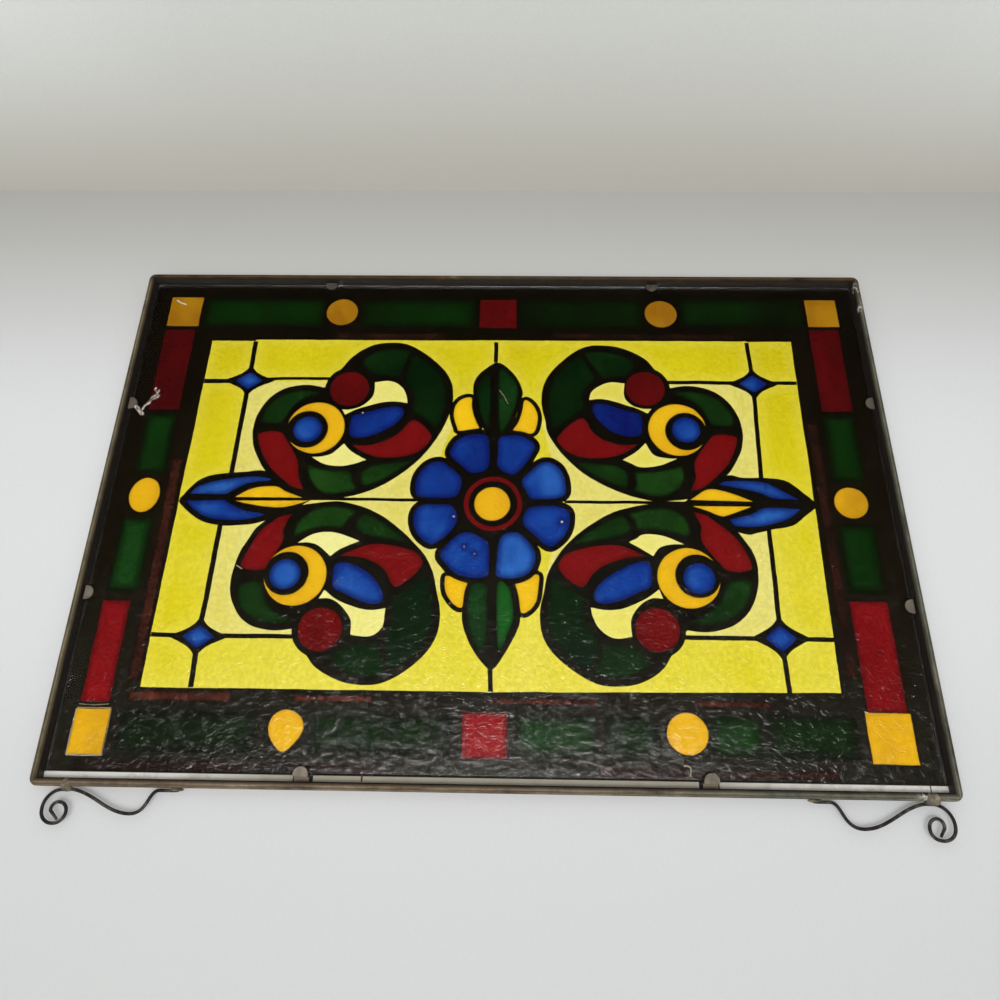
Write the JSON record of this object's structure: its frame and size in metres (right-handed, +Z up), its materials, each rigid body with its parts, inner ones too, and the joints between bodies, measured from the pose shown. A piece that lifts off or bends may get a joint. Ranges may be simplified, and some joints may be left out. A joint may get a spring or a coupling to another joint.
{
  "type": "stained glass window",
  "caption": "Hanging glass panel painted like leaded stained glass with a flower and leaf wreaths, in a thin metal edging frame with wire scrolls along the top.",
  "frame": {"origin": "middle of the line on which two hanging hooks bear, under the highest point of each wire's wave, at the middle of the rail's depth", "axes": "+X along the width to the right as seen from the front, +Y out of the back, +Z up; the painted face looks along -Y"},
  "size_m": [0.53, 0.0092, 0.3824],
  "materials": {
    "frame_metal": "tarnished, with brown patina",
    "glass": "clear, hammered front",
    "outline_paint": "black paint",
    "wire": "dark oxidised"
  },
  "bodies": {
    "root": {"window_frame": "frame_metal", "glass_pane": "glass", "painted_outlines": "outline_paint", "scroll_wire_left": "wire", "scroll_wire_right": "wire"}
  },
  "joints": []
}
